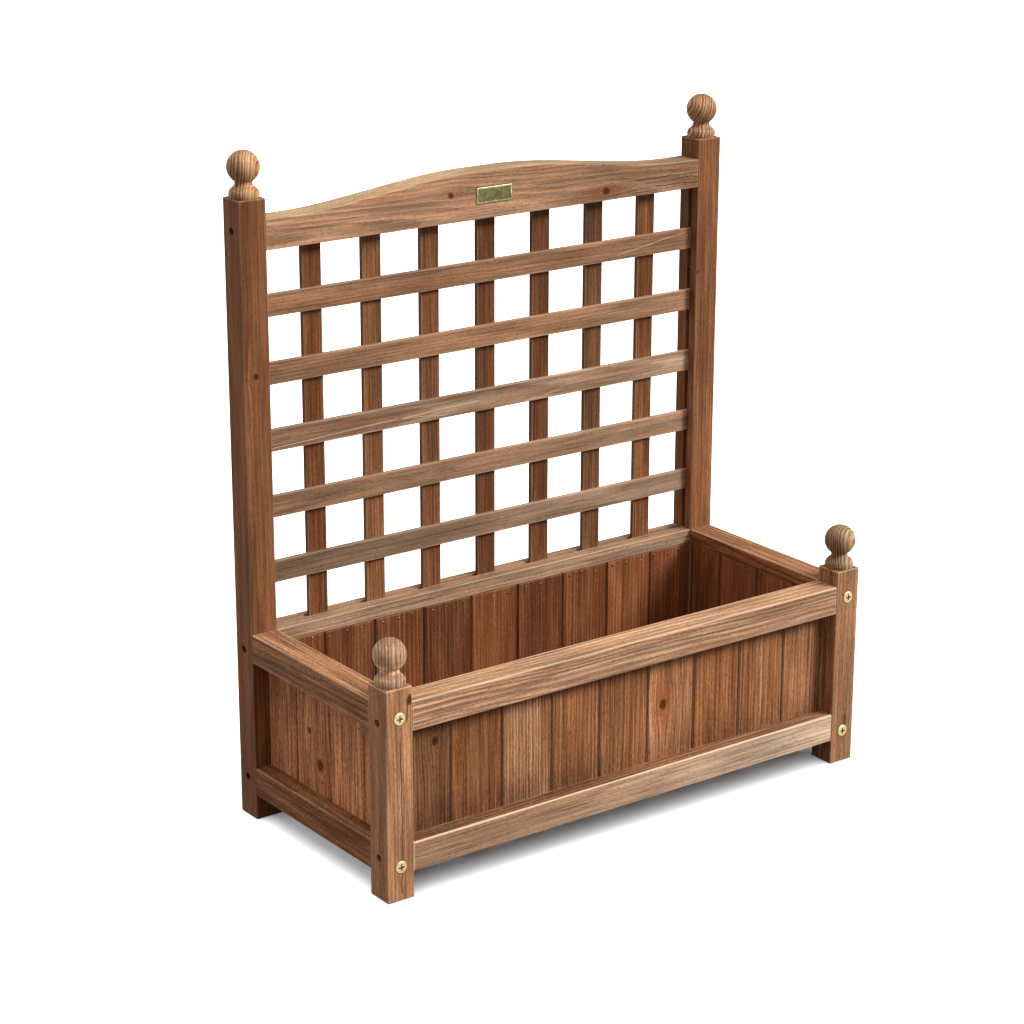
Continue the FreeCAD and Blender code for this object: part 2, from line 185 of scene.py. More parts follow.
def softwood_group():
    """Growth rings, fibres and slow drifts of tone, from a place in a piece of wood."""
    tree = bpy.data.node_groups.new("softwood", "ShaderNodeTree")
    face = tree.interface
    for name in ("Place", "Pith", "Lean"):
        face.new_socket(name, in_out="INPUT", socket_type="NodeSocketVector")
    for name in ("Seed", "Spacing", "Wobble"):
        face.new_socket(name, in_out="INPUT", socket_type="NodeSocketFloat")
    for name in ("Late", "Crest", "Fibre", "Drift", "Streak", "Pore"):
        face.new_socket(name, in_out="OUTPUT", socket_type="NodeSocketFloat")
    g = Graph(tree)
    source = tree.nodes.new("NodeGroupInput")
    sink = tree.nodes.new("NodeGroupOutput")
    wobble = source.outputs["Wobble"]

    x, y, z = g.parts(source.outputs["Place"])
    _, pith_y, pith_z = g.parts(source.outputs["Pith"])
    _, lean_y, lean_z = g.parts(source.outputs["Lean"])
    shift = g.math("MULTIPLY", source.outputs["Seed"], 37.7)

    def drifting(along, across, offset, detail=2.0, roughness=0.5):
        """Noise whose waves are so many millimetres long and wide; offset sets it apart."""
        there = g.join(
            g.math("MULTIPLY_ADD", x, 1.0 / along, g.math("ADD", shift, offset)),
            g.math("MULTIPLY_ADD", y, 1.0 / across, shift),
            g.math("MULTIPLY_ADD", z, 1.0 / across, offset),
        )
        return g.noise(there, 1.0, detail, roughness)

    wander_y = g.math("SUBTRACT", drifting(190.0, 500.0, 3.1, 1.0), 0.5)
    wander_z = g.math("SUBTRACT", drifting(130.0, 500.0, 9.7, 1.0), 0.5)
    small = g.math("SUBTRACT", drifting(30.0, 8.0, 21.3, 2.0), 0.5)
    ring_y = g.math("MULTIPLY_ADD", wander_y, wobble, g.math("SUBTRACT", y, pith_y))
    ring_y = g.math("MULTIPLY_ADD", x, lean_y, ring_y)
    ring_z = g.math("MULTIPLY_ADD", wander_z, wobble, g.math("SUBTRACT", z, pith_z))
    ring_z = g.math("MULTIPLY_ADD", x, lean_z, ring_z)
    radius = g.vector("LENGTH", g.join(0.0, ring_y, ring_z))
    radius = g.math("MULTIPLY_ADD", small, ring_ripple, radius)
    years = g.math("DIVIDE", radius, source.outputs["Spacing"])
    slow = g.noise(g.join(g.math("MULTIPLY", years, slow_growth), shift, 0.0), 1.0, 2.0)
    years = g.math("MULTIPLY_ADD", slow, growth_drift, years)
    season = g.math("FRACT", years)
    chance = g.add("TexWhiteNoise", noise_dimensions="2D")
    g.feed(chance.inputs["Vector"], g.join(g.math("FLOOR", years), shift, 0.0))
    force = g.spread(chance.outputs["Value"], faintest_ring, 1.0)
    late = g.math("MULTIPLY", g.step(season, *late_rise), g.step(season, *late_fall))
    late = g.math("MULTIPLY", late, force)
    crest = g.math("MULTIPLY", g.step(season, *crest_rise), g.step(season, *crest_fall))
    crest = g.math("MULTIPLY", crest, force)

    fields = {
        "Late": late,
        "Crest": crest,
        "Fibre": drifting(75.0, 1.7, 41.0, 3.0, 0.62),
        "Drift": drifting(120.0, 17.0, 57.0, 3.0),
        "Streak": drifting(220.0, 4.5, 71.0, 2.0, 0.6),
        "Pore": drifting(5.0, 1.2, 83.0, 1.0),
    }
    for name, value in fields.items():
        g.feed(sink.inputs[name], value)
    return tree


wood_group = softwood_group()

early = srgb(176, 115, 71)
straw = srgb(196, 148, 88)
latewood = srgb(70, 35, 17)
veil = srgb(214, 188, 160)
ember = srgb(172, 88, 38)
knot_dark = srgb(46, 23, 14)
knot_heart = srgb(104, 56, 34)
# Pale bare wood along the arrises: part rubbed wear, part painted highlight where the rounded
# arrises would catch the light.
worn_and_highlit = srgb(236, 210, 178)

# How far a normal has to turn to an axis for its face to count as looking that way.
facing_step = (0.6, 0.9)
square_step = (0.5, 0.8)
end_grain_step = (0.55, 0.95)
# The middle part of a 0 to 1 noise, spread to the whole of it.
middle_step = (0.3, 0.7)

# The share of the ring lines kept on ledges, and the brightness of the stain-soaked end grain.
ledge_lines = 0.45
end_grain_tone = 0.62

# Millimetres: dirt beside a joint, and the pale band along an arris, part rub and part painted
# highlight, with its ragged limit.
dirt_step = (3.2, 0.8)
rub_and_highlight_step = (1.9, 0.7)
rub_and_highlight_ragged = 2.6

# The dry matt surface: raised fibres are rougher and the hard late wood smoother. Heights are in
# parts of a fibre's, and the depth of the grain is in metres.
smoothest = 0.46
fibre_rough = 0.25
late_rough = -0.10
late_height = 0.6
pore_height = 0.5
grain_bump = 0.7
grain_depth = 0.0005

# Lines along the grain: how far they wander and taper, in millimetres, how many bends they have
# in a millimetre, and their strength.
check_wander = 9.0
ridge_wander = 3.0
line_taper = 8.0
line_bends = 0.03
line_strength = 0.8

# How each axis of a piece maps to along, across and through.
turns = {"X": (0, 2, 1), "Y": (1, 2, 0), "Z": (2, 0, 1), "Zy": (2, 1, 0)}

# Which way the boards of each wall look into the box.
inward = {"front": (0, 1, 0), "back": (0, -1, 0), "left": (1, 0, 0), "right": (-1, 0, 0)}


# How rings flow round a knot: the stretch of the bend along the grain, its reach in radii of the
# knot and how far it pushes.
bend_stretch = 0.45
bend_reach = 2.4
bend_push = 1.15

# A knot in radii of itself: where each zone fades out and in, and how strongly it covers. The
# stretches are those of the knot and of its flame along the grain.
flame_step = (2.6, 0.4)
rim_step = (1.5, 0.9)
rim_cover = 0.75
heart_step = (0.95, 0.6)
heart_cover = 0.85
knot_stretch = 0.8
flame_stretch = 0.24
knot_ragged = 0.9
flame_ragged = 1.6
knot_ring = 1.5


def bend_round(g, along, across, knots):
    """The place across the grain, pushed aside so that rings flow round each knot."""
    bent = across
    for knot_x, knot_y, size, _ in knots:
        dx = g.math("SUBTRACT", along, knot_x)
        dy = g.math("SUBTRACT", across, knot_y)
        away = g.vector("LENGTH", g.join(g.math("MULTIPLY", dx, bend_stretch), dy, 0.0))
        pull = g.math("EXPONENT", g.math("DIVIDE", away, -bend_reach * size))
        push = g.math("MULTIPLY", g.math("MULTIPLY", dy, pull), bend_push)
        bent = g.math("SUBTRACT", bent, push)
    return bent


def draw_knots(g, colour, along, across, knots, tone, shown):
    """Dark-rimmed round knots, each with a reddish flame along the grain."""
    if not knots:
        return colour
    blur = g.noise(g.join(g.math("MULTIPLY", along, 0.25), g.math("MULTIPLY", across, 0.4), 0.0))
    for knot_x, knot_y, size, heat in knots:
        dx = g.math("SUBTRACT", along, knot_x)
        dy = g.math("SUBTRACT", across, knot_y)
        near = g.vector("LENGTH", g.join(g.math("MULTIPLY", dx, knot_stretch), dy, 0.0))
        halo = g.vector("LENGTH", g.join(g.math("MULTIPLY", dx, flame_stretch), dy, 0.0))
        ragged = g.math("SUBTRACT", blur, 0.5)
        near = g.math("MULTIPLY_ADD", ragged, size * knot_ragged, near)
        halo = g.math("MULTIPLY_ADD", ragged, size * flame_ragged, halo)
        flame = g.math("MULTIPLY", g.step(halo, *(size * r for r in flame_step)), heat)
        colour = g.mix(g.math("MULTIPLY", flame, shown), colour, g.tint(ember, tone))
        rim = g.math("MULTIPLY", g.step(near, *(size * r for r in rim_step)), rim_cover)
        colour = g.mix(g.math("MULTIPLY", rim, shown), colour, knot_dark)
        ring = g.math("FRACT", g.math("DIVIDE", near, knot_ring))
        heart = g.mix(g.step(ring, 0.2, 0.9), knot_heart, knot_dark)
        middle = g.math("MULTIPLY", g.step(near, *(size * r for r in heart_step)), heart_cover)
        colour = g.mix(g.math("MULTIPLY", middle, shown), colour, g.tint(heart, tone))
    return colour


def draw_lines(g, colour, along, across, lines, seed, wander, ink):
    """Thin lines that wander along the grain: dark drying checks, or pale raised grain."""
    for line, start, end, width, slant in lines:
        bend = g.noise(g.join(g.math("MULTIPLY", along, line_bends), line, seed), 1.0, 3.0)
        off = g.math("MULTIPLY_ADD", g.math("SUBTRACT", bend, 0.5), wander, across)
        off = g.math("MULTIPLY_ADD", g.math("SUBTRACT", along, start), -slant, off)
        off = g.math("ABSOLUTE", g.math("SUBTRACT", off, line))
        drawn = g.step(along, start, start + line_taper)
        mark = g.math("MULTIPLY", g.step(off, width, width * 0.3), drawn)
        mark = g.math("MULTIPLY", mark, g.step(along, end, end - line_taper))
        colour = g.mix(g.math("MULTIPLY", mark, line_strength), colour, ink)
    return colour


def stain_of(g, look, rings, along, normal, ledge):
    """Stain with rings, warm patches and the greyed film of weather, painted light or shade on
    faces that look given ways, and fades along the piece, some of them painted light or shade.
    """
    late, crest, _, drift, streak, _ = rings
    grey, lines = look["grey"], look["lines"]
    shade = g.math("MULTIPLY", late, g.spread(ledge, lines, lines * ledge_lines))
    colour = g.mix(shade, look["stain"], latewood)
    colour = g.mix(g.spread(drift, 0.0, look["ember"] * 2.0), colour, ember)
    film = g.math("MULTIPLY_ADD", g.step(streak, *middle_step), grey * 0.8, grey * 0.6)
    film = g.math("MULTIPLY", film, g.spread(ledge, 1.0, look["dust"]))
    colour = g.mix(film, colour, veil)
    colour = g.vector("MULTIPLY", colour, g.mix(ledge, (1.0, 1.0, 1.0), look["ledge"]))
    # Painted light or shade on the faces that look the given ways.
    for direction, brightness in look["faces"]:
        turned = g.step(g.vector("DOT_PRODUCT", normal, direction), *facing_step)
        colour = g.tint(colour, g.spread(turned, 1.0, brightness))
    colour = g.mix(g.math("MULTIPLY", crest, look["ridges"]), colour, veil)
    # Fades along the piece; on the front boards, the level slats and the front left finial they are
    # painted light or shade.
    for start, end, scale, greying in look["fades"]:
        reach = g.spread(ledge, greying, greying * look["dust"])
        past = g.mix(reach, g.tint(colour, scale), g.tint(veil, scale))
        colour = g.mix(g.step(along, start, end), colour, past)
    return colour


def fine_tones(g, colour, look, rings):
    """Pale fibres and pores, then swings of tone from slow drifts down to single pores."""
    _, _, fibre, drift, streak, pore = rings
    tone, bold = look["tone"], look["bold"]
    colour = g.mix(g.math("MULTIPLY", g.step(fibre, 0.5, 0.8), 0.3 * bold), colour, veil)
    colour = g.mix(g.math("MULTIPLY", g.step(pore, 0.55, 0.85), 0.35 * bold), colour, veil)
    swings = (
        (drift, middle_step, tone * 1.24, tone * 0.76),
        (streak, middle_step, 1.0 + 0.2 * bold, 1.0 - 0.2 * bold),
        (fibre, (0.24, 0.58), 1.0 - 0.5 * bold, 1.0 + 0.16 * bold),
        (pore, (0.2, 0.5), 1.0 - 0.4 * bold, 1.0 + 0.1 * bold),
    )
    for field, limits, low, high in swings:
        colour = g.tint(colour, g.spread(g.step(field, *limits), low, high))
    return colour


def draw_dirt(g, colour, across, look):
    """Dirt gathered beside the joints of a board."""
    for joint in look["joints"]:
        off = g.math("ABSOLUTE", g.math("SUBTRACT", across, joint))
        colour = g.mix(g.math("MULTIPLY", g.step(off, *dirt_step), look["dirt"]), colour, knot_dark)
    return colour


def rub_and_highlight_arrises(g, colour, place, sizes, streak, wear_and_highlight):
    """Pale wood along the arrises, which two outer faces have to be near to: part bare wood rubbed
    by handling, part painted highlight.
    """
    inset = [
        g.math("SUBTRACT", size, g.math("ABSOLUTE", value)) for size, value in zip(sizes, place)
    ]
    lesser = g.math("MINIMUM", inset[0], inset[1])
    greater = g.math("MAXIMUM", inset[0], inset[1])
    edge = g.math("MAXIMUM", lesser, g.math("MINIMUM", greater, inset[2]))
    edge = g.math("MULTIPLY_ADD", g.math("SUBTRACT", streak, 0.5), rub_and_highlight_ragged, edge)
    edge = g.math("MULTIPLY", g.step(edge, *rub_and_highlight_step), wear_and_highlight)
    return g.mix(edge, colour, worn_and_highlit)


def wood(node, grain, look):
    """The material of one piece of wood, with its own cut from the log."""
    low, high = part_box(node)
    middle = (low + high) * half_per_metre
    half = (high - low) * half_per_metre
    turn = turns[grain]
    material, g, shader = blank_material("wood_" + node, "BsdfPrincipled")

    spot = g.add("TexCoord").outputs["Object"]
    spot = g.vector("SUBTRACT", g.vector("SCALE", spot, scale=per_metre), tuple(middle))
    axes = g.parts(spot)
    along, across, through = place = [axes[i] for i in turn]
    sizes = [half[i] for i in turn]

    group = g.add("Group", node_tree=wood_group)
    bent = bend_round(g, along, across, look["knots"])
    g.feed(group.inputs["Place"], g.join(along, bent, through))
    g.feed(group.inputs["Pith"], (0.0, *look["pith"]))
    g.feed(group.inputs["Lean"], (0.0, *look["lean"]))
    g.feed(group.inputs["Seed"], look["seed"])
    g.feed(group.inputs["Spacing"], look["spacing"])
    g.feed(group.inputs["Wobble"], look["wobble"])
    rings = tuple(group.outputs)
    late, _, fibre, _, streak, pore = rings

    normal = g.add("NewGeometry").outputs["Normal"]
    facing = g.parts(normal)
    ledge = g.step(facing[2], *facing_step)
    colour = stain_of(g, look, rings, along, normal, ledge)
    colour = fine_tones(g, colour, look, rings)
    colour = draw_dirt(g, colour, across, look)
    drawn = (("checks", check_wander, knot_dark), ("ridge_lines", ridge_wander, veil))
    for lines, wander, ink in drawn:
        colour = draw_lines(g, colour, along, across, look[lines], look["seed"], wander, ink)
    shown = g.step(g.math("ABSOLUTE", facing[turn[2]]), *square_step)
    colour = draw_knots(g, colour, along, across, look["knots"], look["tone"], shown)
    endwise = g.step(g.math("ABSOLUTE", facing[turn[0]]), *end_grain_step)
    colour = g.tint(colour, g.spread(endwise, 1.0, end_grain_tone))
    # Pale arrises: part rubbed wear, part painted highlight.
    colour = rub_and_highlight_arrises(g, colour, place, sizes, streak, look["wear_and_highlight"])

    g.feed(shader.inputs["Base Color"], colour)
    rough = g.math("MULTIPLY_ADD", fibre, fibre_rough, smoothest)
    rough = g.math("MULTIPLY_ADD", late, late_rough, rough)
    g.feed(shader.inputs["Roughness"], rough)
    shader.inputs["Specular IOR Level"].default_value = 0.12
    height = g.math("MULTIPLY_ADD", late, late_height, fibre)
    height = g.math("MULTIPLY_ADD", pore, pore_height, height)
    g.bump(shader, height, grain_bump, grain_depth)
    dress(node, material)


# A plain look. Brightness and colour: stain, tone, the greyed film and the warm patches. Rings:
# lines is the strength of the dark wood and ridges that of the pale crests. bold is the strength
# of the fine grain and the wear value that of the pale arrises, part rubbed wear and part painted
# highlight. ledge tints what looks up, dust scales the greyed film there, and inside is the
# brightness of a wall board's inner face, which paints shade on it.
plain_look = {
    "stain": early,
    "wobble": 5.0,
    "tone": 0.75,
    "grey": 0.05,
    "ember": 0.2,
    "lines": 0.5,
    "ridges": 0.12,
    "bold": 1.0,
    "wear_and_highlight": 0.15,
    "ledge": (1.0, 1.0, 1.0),
    "dust": 1.0,
    "inside": 1.0,
    "faces": (),
    "knots": (),
    "checks": (),
    "ridge_lines": (),
    "joints": (),
    "dirt": 0.5,
    "fades": (),
}


def cut_of(node):
    """A cut of its own for each piece: where the log's heart lies, and how it leans."""
    dice = random.Random(node)
    side = dice.choice((-1.0, 1.0))
    return {
        "pith": (side * dice.uniform(70.0, 150.0), dice.uniform(-60.0, 60.0)),
        "lean": (dice.uniform(-0.012, 0.012), dice.uniform(-0.02, 0.02)),
        "seed": round(dice.uniform(1.0, 90.0), 2),
        "spacing": dice.uniform(3.4, 5.4),
    }


board_tongue = 4.8
tongue_side = {"front": 1, "back": -1, "left": -1, "right": 1}


def wall_of(node):
    return node.split("_")[0]


def joints_of(node):
    """Where the dirt gathers: the two joint lines of a wall board, across from its middle."""
    low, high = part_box(node)
    wall = wall_of(node)
    across = 0 if wall in ("front", "back") else 1
    half = (high[across] - low[across]) * half_per_metre
    side = tongue_side[wall]
    return (-side * half, side * (half - board_tongue))


# What sets a piece apart. Lengths are in millimetres from its middle, along and across the grain.
# knots: (along, across, radius, reddish flame)
# checks and ridge_lines: (across, start, end, width, slant)
# fades: (start, end, brightness past the end, share of grey there)
# faces: (direction, brightness of the faces that look that way), painted light or shade on those
# faces
looks = {
    # Painted light: the left face of this post, which looks away from the key lamp, is brightened.
    "front_left_post": dict(
        tone=0.93, ember=0.08, grey=0.12, wear_and_highlight=0.3, lines=0.3, bold=0.9,
        faces=(((-1.0, 0.0, 0.0), 1.1),), knots=((101.0, 13.0, 3.6, 0.0),),
        checks=((2.0, -112.0, 62.0, 1.0, 0.0), (9.0, 74.0, 104.0, 1.4, 0.0)),
    ),
    "front_right_post": dict(
        tone=0.85, ember=0.05, grey=0.12, wear_and_highlight=0.3, checks=((0.0, -88.0, -54.0, 1.6, 0.12),),
    ),
    # Painted light: the left face of this post, which looks away from the key lamp, is brightened.
    "back_left_post": dict(
        tone=0.5, ember=0.3, grey=0.04, bold=0.6, faces=(((-1.0, 0.0, 0.0), 1.48),),
        knots=((154.0, -1.0, 2.4, 0.1),),
    ),
    "back_right_post": dict(tone=0.63, grey=0.04, bold=0.7, knots=((185.0, -14.0, 1.2, 0.6),)),
    "front_left_finial": dict(
        stain=straw, tone=1.04, grey=0.26, ember=0.3, ridges=1.0, lines=1.6, spacing=3.4,
        pith=(80.0, -59.0), wobble=3.0, bold=0.5,
        # Painted light: the lower half of the ball is brightened as if lit from below, and the neck
        # under it darkened back.
        fades=((16.0, 14.5, 1.25, 0.0), (11.0, 5.0, 1.9, 0.0), (-1.5, -4.0, 0.43, 0.0)),
    ),
    "front_right_finial": dict(
        stain=straw, tone=0.74, grey=0.2, ember=0.25, ridges=1.6, lines=1.8, spacing=3.3,
        pith=(24.0, -40.0), lean=(0.3, 0.2), bold=0.5,
    ),
    "back_left_finial": dict(
        stain=straw, tone=1.1, grey=0.1, ember=0.3, ridges=1.0, lines=1.4, spacing=3.2,
        pith=(16.0, -24.0), lean=(-0.1, 0.0), wobble=3.0, bold=0.5,
    ),
    "back_right_finial": dict(
        stain=straw, tone=1.0, grey=0.08, ember=0.35, ridges=1.0, lines=1.6, spacing=3.2,
        pith=(28.0, -21.0), lean=(-0.3, 0.2), wobble=3.0, bold=0.5,
    ),
    "front_top_rail": dict(
        tone=0.93, grey=0.22, ember=0.1, wear_and_highlight=0.4, pith=(-46.0, -40.0), lean=(0.025, 0.0),
        spacing=4.4, wobble=9.0, ridges=0.6, lines=0.7, ledge=(0.9, 0.94, 0.92),
    ),
    "front_bottom_rail": dict(
        tone=0.7, grey=0.33, ember=0.1, wear_and_highlight=0.8, ridges=0.5, ledge=(0.54, 0.51, 0.5), dust=0.1,
        fades=((-150.0, 290.0, 1.48, 0.66),),
    ),
    "left_top_rail": dict(
        tone=0.84, ember=0.12, grey=0.08, wear_and_highlight=0.3, lines=0.65, pith=(60.0, 85.0),
        ledge=(0.79, 0.84, 0.88),
    ),
    "left_bottom_rail": dict(
        tone=0.66, ember=0.35, grey=0.0, lines=0.7, pith=(60.0, 60.0), ledge=(0.86, 1.05, 1.15),
    ),
    "back_top_rail": dict(tone=0.67, grey=0.5, ember=0.15, wear_and_highlight=0.3, ledge=(0.8, 0.75, 0.72)),
    "right_top_rail": dict(
        tone=0.95, grey=0.0, ember=0.1, wear_and_highlight=0.3, ledge=(0.62, 0.7, 0.8), dust=0.1, lines=0.8,
        pith=(60.0, 85.0),
    ),
    "arched_top_rail": dict(
        tone=0.88, grey=0.26, ember=0.08, pith=(-20.0, -34.0), lean=(0.012, 0.03), ridges=0.3,
        bold=0.8, ledge=(0.76, 0.8, 0.68), dust=2.0, fades=((0.0, 280.0, 0.65, 0.0),),
        knots=((-57.0, 4.0, 2.6, 0.2), (153.0, -15.0, 3.4, 0.6), (149.0, 16.0, 2.0, 0.3)),
        checks=(
            (-9.5, 190.0, 298.0, 0.7, 0.02),
            (-13.5, 205.0, 298.0, 0.6, 0.0),
            (-18.0, 220.0, 298.0, 0.7, 0.0),
        ),
    ),
    "front_wall_board_1": dict(tone=0.51, ember=0.05, grey=0.03, knots=((34.0, 8.0, 3.4, 0.2),)),
    "front_wall_board_2": dict(tone=0.56, ember=0.3, grey=0.0),
    "front_wall_board_3": dict(tone=0.82, ember=0.2, ridges=0.6, lines=0.8),
    "front_wall_board_4": dict(tone=0.74, ember=0.1, grey=0.0),
    "front_wall_board_5": dict(tone=0.81, ember=0.15, grey=0.0),
    "front_wall_board_6": dict(tone=1.0, ember=0.1, knots=((2.0, -13.5, 4.2, 0.8),)),
    "front_wall_board_7": dict(tone=0.81, ember=0.25, grey=0.0),
    "front_wall_board_8": dict(tone=0.83, ember=0.05, grey=0.0),
    "front_wall_board_9": dict(tone=0.9, ember=0.05),
    # Painted light: the left wall boards have a high tone so that their outer faces, which look
    # away from the key lamp, come out as bright as lit wood; their inside value darkens their inner
    # faces back down.
    "left_wall_board_1": dict(tone=1.5, ember=0.3, inside=0.5),
    "left_wall_board_2": dict(
        tone=1.55, ember=0.3, inside=0.5,
        knots=((6.0, 9.5, 2.6, 0.1), (-27.0, -10.5, 5.0, 0.3)),
    ),
    "left_wall_board_3": dict(tone=1.79, ember=0.3, inside=0.45),
    "left_wall_board_4": dict(tone=1.5, ember=0.15, inside=0.5, knots=((-44.0, 2.0, 2.6, 0.1),)),
    # Painted light: the level slats grow brighter towards their right ends, and greyer there as
    # well.
    "trellis_level_slat_1": dict(
        tone=0.37, grey=0.45, ember=0.15, fades=((-250.0, 250.0, 1.75, 0.25),),
    ),
    "trellis_level_slat_2": dict(
        tone=0.51, grey=0.33, ember=0.15, pith=(3.0, -22.0), lean=(0.0, 0.02),
        fades=((-250.0, 250.0, 1.4, 0.2),),
    ),
    "trellis_level_slat_3": dict(
        tone=0.45, grey=0.3, ember=0.15, pith=(0.0, -20.0), lean=(0.0, 0.03), ridges=0.6,
        fades=((-250.0, 250.0, 1.78, 0.22),),
        ridge_lines=(
            (-8.5, -290.0, -120.0, 0.7, 0.033),
            (-3.0, -118.0, -10.0, 0.8, 0.03),
            (-3.5, -118.0, -50.0, 0.6, -0.08),
        ),
    ),
    "trellis_level_slat_4": dict(
        tone=0.64, grey=0.22, ember=0.1, fades=((-250.0, 250.0, 1.2, 0.05),),
    ),
    "trellis_level_slat_5": dict(
        tone=0.68, grey=0.22, ember=0.2, ridge_lines=((-7.0, 175.0, 280.0, 0.6, 0.15),),
    ),
}

# Boards seen only from inside the box (tone, inside: the painted shade on the inner face), boards
# of the right wall (tone) and upright slats (tone, grey, ember), each from number 1 on.
back_boards = (
    (0.9, 0.61), (0.8, 0.75), (0.75, 0.61), (0.7, 0.54), (0.85, 0.61), (0.7, 0.46), (0.75, 0.55),
    (0.8, 0.5), (0.75, 0.6),
)
right_boards = (0.85, 0.85, 0.8, 0.75)
uprights = (
    (0.45, 0.0, 0.4), (0.56, 0.0, 0.0), (0.48, 0.0, 0.1), (0.36, 0.0, 0.25), (0.38, 0.0, 0.3),
    (0.39, 0.05, 0.05), (0.52, 0.0, 0.3),
)
for number, (tone, inside) in enumerate(back_boards, 1):
    looks[f"back_wall_board_{number}"] = dict(tone=tone, ember=0.5, grey=0.0, inside=inside)
for number, tone in enumerate(right_boards, 1):
    looks[f"right_wall_board_{number}"] = dict(tone=tone, ember=0.3)
for number, (tone, grey, warm) in enumerate(uprights, 1):
    looks[f"trellis_upright_slat_{number}"] = dict(tone=tone, grey=grey, ember=warm)

# Painted shade: the front boards darken towards the bottom rail, in the crease where they meet it,
# and under the top rail, which shades them.
front_painted_shade = ((-18.0, -58.0, 0.66, 0.0), (36.0, 60.0, 0.8, 0.0))
# Painted shade on the front boards' inner faces.
front_inside_shade = 0.6
joint_dirt = {"front": 0.4, "left": 0.25, "back": 0.6, "right": 0.6}

# The strength of the fine grain where it isn't a piece's own, by what its name starts with.
grain_strength = {
    "trellis": 0.75,
    "floor_slats": 0.75,
    "back_wall": 0.55,
    "right_wall": 0.55,
    "left_wall": 1.4,
    "left_top": 1.4,
    "left_bottom": 1.4,
}


def grain_of(node):
    """Which axes the grain runs along and a piece's seen face lies across: a key of turns."""
    if node.startswith(("left_", "right_")) and node.endswith("_rail") or node == "floor_slats":
        return "Y"
    if node.endswith("_rail") or "level_slat" in node or node == "floor_bearers":
        return "X"
    if node.startswith(("left_wall", "right_wall")):
        return "Zy"
    return "Z"


def look_of(node):
    """The whole look of a piece: plain, then its own cut, its own values and its wall's."""
    look = {**plain_look, **cut_of(node), **looks.get(node, {})}
    if node.startswith("front_wall"):
        look["fades"] = front_painted_shade
        look["inside"] = front_inside_shade
    if "_wall_board" in node:
        wall = wall_of(node)
        look["joints"] = joints_of(node)
        # Painted shade on the inner face of a wall board.
        look["faces"] = ((inward[wall], look["inside"]),)
        look["dirt"] = joint_dirt[wall]
    for beginning, bold in grain_strength.items():
        if node.startswith(beginning):
            look["bold"] = bold
    return look


metal_nodes = ("corner_bolts", "sunk_screws", "blank_plate")
for name in sorted(nodes):
    if name not in metal_nodes:
        wood(name, grain_of(name), look_of(name))


# ------------------------------------------------------------------ metal


scratch_waves = (0.4, 1.0, 5.0)
scratch_tone = (0.92, 1.08)
scratch_bump = 0.3
scratch_depth = 0.0001
# How far the painted shade and grime of a sheltered metal reach, in metres.
grime_and_shade_reach = 0.003


def metal(name, colour, dull, rough, grime_and_shade, cloudy=0.35):
    """A plated metal with cloudy dulling, fine scratches, and grime with painted shade where it is
    sheltered.
    """
    material, g, shader = blank_material(name, "BsdfPrincipled")
    spot = g.vector("SCALE", g.add("TexCoord").outputs["Object"], scale=per_metre)
    cloud = g.noise(spot, cloudy, 3.0, 0.6)
    scratch = g.noise(g.vector("MULTIPLY", spot, scratch_waves), 1.0, 3.0, 0.7)
    tone = g.mix(g.step(cloud, 0.35, 0.7), colour, dull)
    tone = g.tint(tone, g.spread(scratch, *scratch_tone))
    # Painted shade and grime: darker where ambient occlusion finds the metal sheltered, as in the
    # cross of a bolt head.
    shade = g.add("AmbientOcclusion", samples=8)
    shade.inputs["Distance"].default_value = grime_and_shade_reach
    tone = g.mix(g.step(shade.outputs["AO"], 0.9, 0.5), tone, grime_and_shade)
    g.feed(shader.inputs["Base Color"], tone)
    shader.inputs["Metallic"].default_value = 1.0
    g.feed(shader.inputs["Roughness"], g.spread(g.math("ADD", cloud, scratch), rough * 0.6, rough))
    g.bump(shader, scratch, scratch_bump, scratch_depth)
    return material


zinc = metal("yellow_zinc", srgb(255, 244, 186), srgb(250, 208, 164), 0.6, srgb(26, 17, 9), 0.013)
steel = metal("dark_screw", srgb(120, 92, 66), srgb(84, 60, 42), 0.5, srgb(20, 12, 8))
brass = metal("aged_brass", srgb(146, 140, 98), srgb(112, 106, 72), 0.55, srgb(52, 44, 26), 0.2)
rubbed = metal("rubbed_brass", srgb(206, 196, 152), srgb(170, 158, 112), 0.5, srgb(52, 44, 26), 0.2)
iron = metal("brad_heads", srgb(190, 146, 100), srgb(120, 82, 52), 0.5, srgb(60, 36, 20), 0.1)
for name, material in (("corner_bolts", zinc), ("sunk_screws", steel), ("blank_plate", brass)):
    dress(name, material)


def put_in_scene(name, data):
    piece = bpy.data.objects.new(name, data)
    bpy.context.scene.collection.objects.link(piece)
    return piece


def add_piece(name, shape, material):
    """A small smooth piece of the scene's own that goes with the planter."""
    mesh = bpy.data.meshes.new(name)
    shape.to_mesh(mesh)
    shape.free()
    mesh.polygons.foreach_set("use_smooth", [True] * len(mesh.polygons))
    mesh.materials.append(material)
    piece = put_in_scene(name, mesh)
    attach(piece, "root")


# ------------------------------------------------------------------ brads along the wall boards

brad_radius = 0.0014
brad_crown = 0.0007
brad_sunk = 0.0003
brad_drop = 0.0220
brads_per_board = (0.19, 0.50, 0.79)
brad_sides = 10
brad_profile = ((1.0, -brad_sunk), (1.0, 0.25 * brad_crown), (0.72, 0.8 * brad_crown))
brad_scatter = 0.06
brad_rise = (-0.0025, 0.002)
brad_stretch = (0.7, 1.4)


